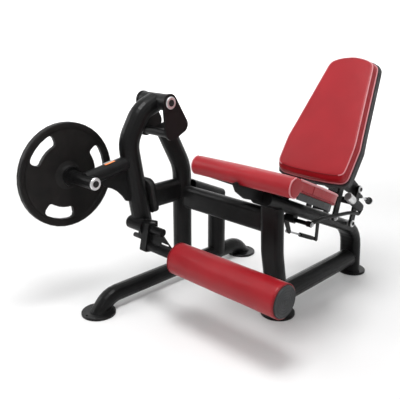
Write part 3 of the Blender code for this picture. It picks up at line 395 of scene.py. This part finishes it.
def resampled(points, spacing, closed):
    """Points spaced evenly along a line."""
    points = [Vector(p) for p in points]
    if closed:
        points.append(points[0].copy())
    runs = [0.0]
    for a, b in zip(points, points[1:]):
        runs.append(runs[-1] + (b - a).length)
    count = max(4, round(runs[-1] / spacing))
    out = []
    k = 0
    for i in range(count if closed else count + 1):
        goal = runs[-1] * i / count
        while k < len(runs) - 2 and runs[k + 1] < goal:
            k += 1
        share = (goal - runs[k]) / max(runs[k + 1] - runs[k], 1e-9)
        out.append(points[k].lerp(points[k + 1], share))
    return out


def tube(name, points, radius, look, body, closed=True, sides=10, spacing=0.006, ripple=0.0):
    """A round cord along a line. ripple is the height of its ridges as a share of its radius."""
    points = resampled(points, spacing, closed)
    count = len(points)
    work = bmesh.new()
    rows = []
    normal = None
    for i, point in enumerate(points):
        before = points[i - 1] if closed or i else point
        after = points[(i + 1) % count] if closed or i < count - 1 else point
        tangent = (after - before).normalized()
        if normal is None:
            normal = tangent.orthogonal().normalized()
        normal = (normal - tangent * normal.dot(tangent)).normalized()
        size = radius * (1 + ripple * math.sin(i * 2.1) + ripple * 0.5 * noise.noise(point * 300))
        rows.append(corners(work, circle(point, normal, tangent.cross(normal), size, sides)))
    if closed:
        first = rows[0]
        shift = min(range(sides), key=lambda s: (rows[-1][0].co - first[s].co).length)
        rows.append(first[shift:] + first[:shift])
    skin(work, rows, ends=not closed)
    return piece(name, work, look, body, smooth=0)


def mesh_of(node):
    """A CAD node's mesh with its split corners joined."""
    work = bmesh.new()
    work.from_mesh(NODES[node].data)
    bmesh.ops.remove_doubles(work, verts=work.verts, dist=1e-5)
    return work


def weld(node, against, body):
    """A bead along the longest sharp edge of a node that touches another node, if there is one."""
    other = mesh_of(against)
    tree = BVHTree.FromBMesh(other)
    other.free()
    work = mesh_of(node)
    near = {v for v in work.verts if tree.find_nearest(v.co)[3] < WELD_REACH}
    links = {}
    for edge in work.edges:
        a, b = edge.verts
        if a in near and b in near and len(edge.link_faces) == 2 and edge.calc_face_angle(0.0) > 0.5:
            links.setdefault(a, []).append(b)
            links.setdefault(b, []).append(a)
    loops = []
    unused = set(links)
    while unused:
        ends = [v for v in unused if len(links[v]) == 1]
        walk = [min(ends or unused, key=lambda v: v.index)]
        unused.discard(walk[0])
        while True:
            onward = [v for v in links[walk[-1]] if v in unused]
            if not onward:
                break
            walk.append(onward[0])
            unused.discard(onward[0])
        length = sum((b.co - a.co).length for a, b in zip(walk, walk[1:]))
        shut = len(walk) > 3 and walk[0] in links[walk[-1]]
        loops.append((length, len(loops), [v.co.copy() for v in walk], shut))
    work.free()
    if not loops:
        return
    length, _, points, shut = max(loops)
    if length > WELD_SHORTEST:
        name = "weld_" + node + "_" + against
        tube(name, points, WELD_RADIUS, "black_paint", body, shut, sides=8, spacing=0.003, ripple=0.16)


# ---------------------------------------------------------------- padding


def inflated(name, work, seams, fixed):
    """The shape blown up like foam under a tight cover.

    It is held along its seams and where fixed(point) is True.
    """
    sewn = [point for line in seams for point in resampled(line, 0.004, False)]
    held = KDTree(len(sewn))
    for index, point in enumerate(sewn):
        held.insert(point, index)
    held.balance()
    mesh = bpy.data.meshes.new(name)
    work.to_mesh(mesh)
    work.free()
    obj = bpy.data.objects.new(name, mesh)
    bpy.context.scene.collection.objects.link(obj)
    remesh = obj.modifiers.new("remesh", "REMESH")
    remesh.mode = "VOXEL"
    remesh.voxel_size = PAD_VOXEL
    relax(obj)
    flatten(obj)
    press(obj, [v.index for v in obj.data.vertices if fixed(v.co) or held.find(v.co)[2] < SEAM_HOLD])
    relax(obj)
    smooth = obj.modifiers.new("subdivision", "SUBSURF")
    smooth.levels = 1
    smooth.render_levels = 1
    flatten(obj)
    obj.data.materials.clear()
    obj.data.materials.append(LOOKS["red_vinyl"])
    obj.data.shade_smooth()
    return obj


def press(obj, pinned):
    """Cloth under pressure from inside, with each point kept within PAD_STRETCH of where it started."""
    rest = [v.co.copy() for v in obj.data.vertices]
    group = obj.vertex_groups.new(name="pin")
    group.add(pinned, 1.0, "REPLACE")
    settings = obj.modifiers.new("cloth", "CLOTH").settings
    settings.quality = 5
    settings.mass = 0.3
    settings.tension_stiffness = 25.0
    settings.compression_stiffness = 25.0
    settings.shear_stiffness = 12.0
    settings.bending_stiffness = 2.0
    settings.use_pressure = True
    settings.uniform_pressure_force = PAD_PRESSURE
    settings.vertex_group_mass = "pin"
    settings.effector_weights.gravity = 0.0
    scene = bpy.context.scene
    for step in range(1, PAD_STEPS + 1):
        scene.frame_set(step)
    flatten(obj)
    scene.frame_set(1)
    for vertex, start in zip(obj.data.vertices, rest):
        move = vertex.co - start
        if move.length > PAD_STRETCH:
            vertex.co = start + move.normalized() * PAD_STRETCH


def relax(obj):
    smooth = obj.modifiers.new("relax", "SMOOTH")
    smooth.factor = 0.5
    smooth.iterations = 2


def flatten(obj):
    """The object's modifiers applied to its mesh."""
    bpy.context.view_layer.update()
    graph = bpy.context.evaluated_depsgraph_get()
    made = bpy.data.meshes.new_from_object(obj.evaluated_get(graph))
    obj.modifiers.clear()
    old = obj.data
    obj.data = made
    bpy.data.meshes.remove(old)


def settled(points, pad, lift):
    """The points moved onto the pad's surface and lifted off it a little."""
    work = bmesh.new()
    work.from_mesh(pad.data)
    tree = BVHTree.FromBMesh(work)
    work.free()
    out = []
    for point in resampled(points, 0.006, False):
        spot, normal = tree.find_nearest(point)[:2]
        out.append(spot + normal * lift)
    for _ in range(3):
        middle = [(a + b * 2 + c) / 4 for a, b, c in zip(out, out[1:], out[2:])]
        out = [out[0], *middle, out[-1]]
    return out


def in_order(points):
    """The points as one open line, started again at their widest gap."""
    gaps = [(a - b).length for a, b in zip(points, points[1:] + points[:1])]
    split = gaps.index(max(gaps)) + 1
    return points[split:] + points[:split]


def stack(layers, place):
    """A closed solid through outlines at several depths. place(x, along, depth) gives the 3-D point."""
    work = bmesh.new()
    skin(work, [corners(work, [place(*p, depth) for p in outline]) for depth, outline in layers])
    return work


def smoothed(points, rounds=2):
    """A closed outline with its corners cut again and again into curves."""
    points = [Vector(p) for p in points]
    for _ in range(rounds):
        cut = []
        for a, b in zip(points, points[1:] + points[:1]):
            cut += [a.lerp(b, 0.25), a.lerp(b, 0.75)]
        points = cut
    return points


def seat_outline(inset, front):
    """The seat's outline from front on one side, round the curved rear, to front on the other side."""
    half = SEAT_HALF - inset
    rear = SEAT_LENGTH - inset
    turn_at = 0.250
    side = [(half, front), (half, 0.112), (half - 0.006, turn_at)]
    for k in range(1, 16):
        angle = math.pi / 2 * k / 16
        side.append(((half - 0.006) * math.cos(angle) ** 0.8, turn_at + (rear - turn_at) * math.sin(angle)))
    return side + [(0.0, rear)] + [(-x, along) for x, along in reversed(side)]


def back_outline(inset, raised=0.0):
    """The backrest's outline, drawn in by inset, with its lower edge raised."""
    side = [(0.085, -0.010), (0.145, -0.005), (0.163, 0.003), (0.170, 0.020), (0.171, 0.150), (0.158, 0.223)]
    side += [(0.113, 0.505), (0.109, 0.525), (0.100, 0.538), (0.070, 0.552), (0.035, 0.560)]
    middle = BACK_LENGTH / 2
    across, along = 1 - inset / 0.17, 1 - inset / middle
    ring = [(0.0, -0.012)] + side + [(0.0, BACK_LENGTH)] + [(-x, up) for x, up in reversed(side)]
    out = []
    for x, up in ring:
        lift = raised * max(0.0, 1 - (up + 0.012) / 0.12)
        out.append(Vector((x * across, middle + (up - middle) * along + lift)))
    return out


def roll_mesh(centre):
    """The roll along the seat's front edge, a little smaller than the finished roll."""
    work = bmesh.new()
    bmesh.ops.create_cone(
        work,
        cap_ends=True,
        segments=48,
        radius1=ROLL_RADIUS - 0.0015,
        radius2=ROLL_RADIUS - 0.0015,
        depth=2 * (SEAT_HALF - 0.0015),
        matrix=Matrix.Translation(centre) @ Matrix.Rotation(math.pi / 2, 4, "Y"),
    )
    mesh = bpy.data.meshes.new("roll")
    work.to_mesh(mesh)
    work.free()
    return mesh


def make_seat():
    """The seat's pad with its front roll, its piping and its side seams."""
    layers = [
        (-SEAT_THICK + 0.0012, seat_outline(0.003, 0.002)),
        (-0.006, seat_outline(0.002, 0.002)),
        (-0.003, seat_outline(0.005, 0.002)),
    ]
    pad = stack(layers, seat_at)
    centre = seat_at(0.0, 0.0, -ROLL_RADIUS)
    roll = roll_mesh(centre)
    pad.from_mesh(roll)
    bpy.data.meshes.remove(roll)

    top = [seat_at(x, along, -0.0045) for x, along in seat_outline(0.0025, 0.020)]
    rings = {}
    for side, way in SIDES:
        start = centre + X_AXIS * way * (SEAT_HALF - 0.003)
        rings[side] = []
        for k in range(33):
            angle = math.radians(-20 - 190 * k / 32)
            reach = SEAT_UP * math.cos(angle) + SEAT_DOWN * math.sin(angle)
            rings[side].append(start + reach * (ROLL_RADIUS - 0.002))

    def fixed(point):
        local = point - at(0.0, *SEAT_FRONT)
        return local.dot(SEAT_UP) < -SEAT_THICK + 0.006 and local.dot(SEAT_DOWN) > 0.05

    seat = inflated("seat_pad", pad, [top, *rings.values()], fixed)
    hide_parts("seat_cushion")
    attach(seat, "frame")

    # The top piping's light pink stands for the lit shoulder's shine: painted highlight.
    tube("seat_piping_top", settled(top, seat, 0.0010), 0.0042, "piping", "frame", closed=False)
    low = [seat_at(x, along, -SEAT_THICK + 0.0060) for x, along in seat_outline(0.001, 0.045)]
    tube("seat_piping_low", settled(low, seat, 0.0002), 0.0022, "thread", "frame", closed=False)
    for side, way in SIDES:
        ring = settled(rings[side], seat, 0.0010)
        tube("roll_piping_" + side, ring, 0.0026, "piping", "frame", closed=False)
        seam = [seat_at(way * (SEAT_HALF - 0.002), SEAT_SEAM, height) for height in (-0.008, -0.042)]
        tube("side_seam_" + side, settled(seam, seat, 0.0), 0.0016, "thread", "frame", closed=False)


def make_back():
    """The backrest's pad: a face that turns under at its lower edge, and piping on two edges."""
    layers = [
        (BACK_CUSHION - 0.0012, back_outline(-0.004)),
        (0.0170, back_outline(-0.001)),
        (0.0055, back_outline(0.0020, 0.013)),
        (0.0025, back_outline(0.0060, 0.017)),
    ]
    pad = stack(layers, back_at)
    ring = smoothed(back_outline(0.0030, 0.015))
    front = [back_at(*p, 0.0048) for p in ring[2:] + ring[:3]]
    ring = smoothed(back_outline(-0.0040))
    rear = [back_at(*p, BACK_CUSHION - 0.0080) for p in ring + ring[:1]]
    start = at(0.0, *BACK_POINT)

    def fixed(point):
        return (point - start).dot(BACK_REAR) > BACK_CUSHION - 0.006

    back = inflated("back_pad", pad, [front, rear], fixed)
    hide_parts("back_cushion")
    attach(back, "back_carriage")
    line = settled(front, back, 0.0012)[:-1]
    sides = [p for p in line if abs((p - ORIGIN).x) > 0.140 or (p - start).dot(BACK_UP) > 0.1]
    under = [p for p in line if p not in sides]
    tube("back_piping_front", in_order(sides), 0.0026, "piping", "back_carriage", closed=False)
    tube("back_crease", in_order(under), 0.0016, "thread", "back_carriage", closed=False)
    tube("back_piping_rear", settled(rear, back, 0.0014)[:-1], 0.0034, "piping", "back_carriage")


def make_roller():
    """The ankle roller: vinyl drawn tight over a foam tube, with rounded ends and small puckers there."""
    sides, rows = 112, 90
    edge = 0.009
    length = 2 * ROLLER_HALF
    end = [(0.0, 0.030)]
    for k in range(7):
        turn = math.pi / 2 * k / 6
        end.append((edge * (1 - math.cos(turn)), ROLLER_RADIUS - edge + edge * math.sin(turn)))
    middle = [(edge + (length - 2 * edge) * k / rows, ROLLER_RADIUS) for k in range(1, rows)]
    work = bmesh.new()
    rings = []
    for along, out in end + middle + [(length - a, r) for a, r in reversed(end)]:
        ring = []
        for i in range(sides):
            angle = math.tau * i / sides
            x = along - ROLLER_HALF
            near = min(along, length - along)
            pucker = 0.0006 * math.exp(-near / 0.012) * math.sin(angle * 26)
            wave = 0.0008 * noise.noise(Vector((x * 14, math.cos(angle) * 2.2, math.sin(angle) * 2.2)))
            size = out - 0.0008 + (wave + pucker if out > ROLLER_RADIUS - 0.006 else 0.0)
            ring.append(at(x, ANKLE_BAR[0] + size * math.cos(angle), ANKLE_BAR[1] + size * math.sin(angle)))
        rings.append(corners(work, ring))
    skin(work, rings)
    roller = piece("roller_pad", work, "red_vinyl", None, smooth=0)
    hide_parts("roller_foam")
    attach(roller, "roller")

    for side, way in SIDES:
        start = at(way * (ROLLER_HALF + 0.0003), *ANKLE_BAR)
        ring = circle(start, flat((1.0, 0.0)), flat((0.0, 1.0)), ROLLER_RADIUS - 0.0032, 64)
        # The roller's piping rings take the darker copy of the red vinyl: painted shade.
        tube("roller_piping_" + side, ring, 0.0028, "red_vinyl_shaded", "roller")
        profile = end_cap(5, 0.0) + [(0.0105, 0.0078), (0.0105, 0.0)]
        if side == "right":
            profile = end_cap(4, 0.0190) + [(0.0085, 0.0190)]
        cap = turned("roller_end_" + side, profile, start, X_AXIS * way, "foam_cap", "roller", 64, 0.0006)
        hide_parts("roller_cap_" + side)


def end_cap(grooves, bore):
    """The roller's end cap from its bore outwards over the rim, and back in over its round grooves."""
    profile = [(0.0, bore), (0.0, 0.0625), (0.0060, 0.0625), (0.0085, 0.0600)]
    for k in range(grooves):
        out = 0.0560 - 0.0105 * k
        profile += [(0.0085, out), (0.0072, out - 0.0018), (0.0072, out - 0.0038), (0.0085, out - 0.0056)]
    return profile


# ---------------------------------------------------------------- hardware


def centre_caps():
    """The black screw heads in the polished caps, and the pivot's cap on the outer side."""
    rear_pin = (LINK_REAR[0] + LINK_RISE[0], LINK_REAR[1] + LINK_RISE[1])
    for name, centre, out, body in (
        ("pivot_cap", PIVOT, 0.0148, "frame"),
        ("horn_cap", HORN, 0.0138, "lever_arm"),
        ("rear_axle_cap", LINK_REAR, 0.0092, "frame"),
        ("rear_pin_cap", rear_pin, 0.0092, "rear_link"),
    ):
        start = at(0.0, *centre)
        start.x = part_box(name)[1][0]
        turned(name + "_plug", screw_head(out), start, X_AXIS, "black_rubber", body, 32, 0.0003)
    ring = [(0.0, 0.0128), (0.0, 0.026), (0.0035, 0.0275), (0.0065, 0.024), (0.0065, 0.011), (0.0024, 0.011)]
    ring += [(0.0024, 0.0128)]
    start = at(LEVER_X - CLEVIS_REACH, *PIVOT)
    turned("pivot_cap_outer", ring, start, -X_AXIS, "silver", "frame", 56, 0.0008)
    start -= X_AXIS * 0.0065
    turned("pivot_plug_outer", screw_head(0.0148), start, -X_AXIS, "black_rubber", "frame", 32, 0.0003)


def screw_head(out):
    """A low round head with a recess in its middle."""
    profile = [(0.0002, 0.0), (0.0002, out), (0.0018, out), (0.0026, out * 0.86)]
    return profile + [(0.0026, out * 0.44), (0.0010, out * 0.38), (0.0010, 0.0)]


def hexagon(name, centre, look, body):
    """A bolt head with a chamfered top, facing the machine's left side."""
    first = X_AXIS.orthogonal().normalized()
    second = X_AXIS.cross(first)
    work = bmesh.new()
    levels = ((0.0, BOLT_RADIUS), (BOLT_HEIGHT * 0.8, BOLT_RADIUS), (BOLT_HEIGHT, BOLT_RADIUS * 0.86))
    skin(work, [corners(work, circle(centre + X_AXIS * x, first, second, out, 6)) for x, out in levels])
    piece(name, work, look, body, smooth=20.0)


def make_bolts():
    """Bolt heads and their washers on the front link's axle and on the release lever's hub."""
    for name, centre, body in (
        ("front_axle_bolt", at(LINK_OUTER + 0.0046, *LINK_FRONT), "frame"),
        ("lever_hub_bolt", at(LEVER_SIDE + 0.0094, *LEVER_SHAFT), "release_lever"),
    ):
        washer = [(0.0, 0.0), (0.0, 0.0105), (WASHER, 0.0105), (WASHER, 0.0)]
        turned(name + "_washer", washer, centre, X_AXIS, "steel", body, 40, 0.0004)
        hexagon(name, centre + X_AXIS * WASHER, "steel", body)


def make_grip():
    """The rubber grip with its ribs, and the bright ferrule on its upper end."""
    low, high = Vector(GRIP_LOW), Vector(GRIP_HIGH)
    along = flat((high - low).normalized())
    length = (high - low).length
    reach = length * 0.60
    start = at(LEVER_SIDE, *GRIP_LOW)
    profile = [(0.0, 0.0088), (0.0, 0.0205), (0.006, 0.0210)]
    ribs = 9
    step = (reach - 0.010) / ribs
    for k in range(ribs):
        rib = 0.008 + step * k
        profile += [(rib, 0.0208), (rib + step * 0.30, 0.0208)]
        profile += [(rib + step * 0.45, 0.0196), (rib + step * 0.80, 0.0196)]
    profile += [(reach, 0.0208), (reach, 0.0088)]
    grip = turned("grip_rubber", profile, start, along, "grey_plastic", "release_lever", 48, 0.0005)
    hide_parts("release_grip")
    profile = [(reach + 0.0004, 0.0), (reach + 0.0004, 0.0190)]
    profile += [(length - 0.004, 0.0195), (length, 0.0165), (length, 0.0)]
    turned("grip_ferrule", profile, start, along, "satin", "release_lever", 48, 0.0010)


def make_knob():
    """The moulded shell of the pull pin's knob and the coloured button in its face."""
    along = flat((Vector(PULL_END) - Vector(PULL_START)).normalized())
    start = at(PULL_X, *PULL_START)
    profile = [(0.1390, 0.0046), (0.1390, 0.0084), (0.1445, 0.0098), (0.1670, 0.0108), (0.1700, 0.0150)]
    profile += [(0.1740, 0.0184), (0.1770, 0.0186), (0.1770, 0.0150), (0.1740, 0.0120), (0.1660, 0.0082)]
    profile += [(0.1460, 0.0070)]
    turned("knob_shell", profile, start, along, "black_plastic", "pull_pin", 48, 0.0006)
    face = start + along * KNOB_FACE
    profile = [(-0.0004, 0.0), (-0.0004, 0.0104), (0.0012, 0.0104), (0.0020, 0.0086), (0.0020, 0.0)]
    turned("knob_button", profile, face, along, "yellow", "pull_pin", 40, 0.0004)


def make_sticker():
    """A plain two-tone sticker on the plate arm, with nothing printed on it."""
    start, end = Vector(PLATE_ARM[0]), Vector(PLATE_ARM[1])
    along = flat((end - start).normalized())
    up = along.cross(X_AXIS)
    middle = at(LEVER_X, *start.lerp(end, 0.50)) + up * PLATE_ARM_TOP
    for name, look, low, high, wide in (
        ("sticker_grey", "label_grey", -0.014, 0.001, 0.022),
        ("sticker_orange", "label_orange", 0.002, 0.013, 0.025),
    ):
        outline = [(-wide, low), (wide, low), (wide, high), (-wide, high)]
        layers = [(0.0, outline), (0.0003, outline)]
        work = stack(layers, lambda a, x, rise: middle + along * a + X_AXIS * x + up * rise)
        piece(name, work, look, "lever_arm", smooth=20.0)


def make_welds():
    """Weld beads, each given as the node it runs along, the node it joins and their body."""
    beads = [
        ("cross_tube", "lever_upright", "frame"),
        ("cross_tube", "seat_upright", "frame"),
        ("lever_upright", "lever_base_tube", "frame"),
        ("lever_rear_post", "lever_base_tube", "frame"),
        ("lever_rail_stub", "lever_upright", "frame"),
        ("stop_tube", "lever_upright", "frame"),
        ("seat_base_tube", "seat_upright", "frame"),
        ("seat_base_tube", "seat_rail", "frame"),
        ("seat_upright", "seat_rail", "frame"),
        ("seat_upright", "foot_seat_front", "frame"),
        ("seat_rail", "foot_seat_rear", "frame"),
        ("lever_base_tube", "foot_lever_front", "frame"),
        ("lever_base_tube", "foot_lever_rear", "frame"),
        ("plate_arm", "arm_arch", "lever_arm"),
        ("plate_arm", "weight_horn", "lever_arm"),
        ("arm_arch", "arm_hub", "lever_arm"),
        ("arm_arch", "ankle_housing", "lever_arm"),
        ("arm_gusset", "arm_arch", "lever_arm"),
        ("ankle_gusset", "ankle_bar", "ankle_carrier"),
    ]
    for node, against, body in beads:
        weld(node, against, body)


# ---------------------------------------------------------------- frame, room and camera


def dress_frame():
    """Procedural finishes and soft edges for the CAD pieces that stay."""
    slots = {row["node"]: row["material_slot"] for row in frame["record"]["subparts"]}
    slots["ankle_pin"] = "black_plastic"  # its pull handle is moulded
    for node, obj in NODES.items():
        obj.data.materials.clear()
        obj.data.materials.append(LOOKS[slots[node]])
        bevel = obj.modifiers.new("edge", "BEVEL")
        bevel.width = 0.0010
        bevel.segments = 2
        bevel.limit_method = "ANGLE"
        bevel.angle_limit = math.radians(50)
        bevel.harden_normals = False


def make_room():
    """A pale round floor that curves up into a wall on every side."""
    sections = [(0.0, 0.0), (2.5, 0.0), (ROOM_FLAT, 0.0)]
    for k in range(1, 13):
        angle = math.pi / 2 * k / 12
        sections.append((ROOM_FLAT + ROOM_CURVE * math.sin(angle), ROOM_CURVE * (1 - math.cos(angle))))
    sections.append((ROOM_FLAT + ROOM_CURVE, ROOM_HIGH))
    work = bmesh.new()
    rows = []
    for reach, high in sections:
        centre = Vector((0.0, 0.0, high - 0.0005))
        ring = circle(centre, X_AXIS, flat((1.0, 0.0)), reach, 96) if reach else [centre]
        rows.append(corners(work, ring))
    skin(work, rows, ends=False)
    mesh = bpy.data.meshes.new("studio")
    work.to_mesh(mesh)
    work.free()
    look = Look("studio_paper", 0.9)
    look.colour(look.blend(look.noise(1.5), (0.86, 0.86, 0.86), (0.88, 0.88, 0.88)))
    mesh.materials.append(look.material)
    mesh.shade_smooth()
    obj = bpy.data.objects.new("studio", mesh)
    bpy.context.scene.collection.objects.link(obj)


def lamp(name, place, target, size, power):
    light = bpy.data.lights.new(name, "AREA")
    light.shape = "RECTANGLE"
    light.size, light.size_y = size
    light.energy = power
    obj = bpy.data.objects.new(name, light)
    bpy.context.scene.collection.objects.link(obj)
    obj.location = place
    obj.rotation_mode = "QUATERNION"
    obj.rotation_quaternion = (Vector(target) - Vector(place)).to_track_quat("-Z", "Y")


def make_light():
    """A faint white sky, a wide ceiling lamp, a smaller lamp for the soft shadows, and two fills."""
    world = bpy.data.worlds.new("studio_world")
    world.use_nodes = True
    background = world.node_tree.nodes["Background"]
    background.inputs["Color"].default_value = (1.0, 1.0, 1.0, 1.0)
    background.inputs["Strength"].default_value = 0.10
    bpy.context.scene.world = world
    lamp("ceiling", (-0.3, 0.3, 6.0), (-0.3, 0.3, 0.0), (12.0, 12.0), 380.0)
    lamp("overhead", (0.45, -0.7, 3.4), (0.3, -0.3, 0.3), (1.1, 1.1), 60.0)
    lamp("left", (-3.2, -2.2, 2.4), (0.0, 0.0, 0.5), (1.0, 2.0), 30.0)
    lamp("backdrop", (-3.0, 3.0, 4.0), (-5.5, 5.5, 1.5), (6.0, 3.0), 300.0)
    bpy.context.scene.view_settings.view_transform = "Standard"


def make_camera():
    """The camera, in front of the machine on its left and a little above it."""
    data = bpy.data.cameras.new("camera")
    data.sensor_width = 36.0
    data.lens = CAMERA_LENS
    data.clip_end = 60.0
    obj = bpy.data.objects.new("camera", data)
    bpy.context.scene.collection.objects.link(obj)
    turn, rise = math.radians(CAMERA_TURN), math.radians(CAMERA_RISE)
    back = Vector((math.sin(turn) * math.cos(rise), -math.cos(turn) * math.cos(rise), math.sin(rise)))
    obj.location = at(*CAMERA_SPOT)
    obj.rotation_mode = "QUATERNION"
    obj.rotation_quaternion = (-back).to_track_quat("-Z", "Y")
    bpy.context.scene.camera = obj


dress_frame()
make_seat()
make_back()
make_roller()
centre_caps()
make_bolts()
make_grip()
make_knob()
make_sticker()
make_welds()
make_room()
make_light()
make_camera()
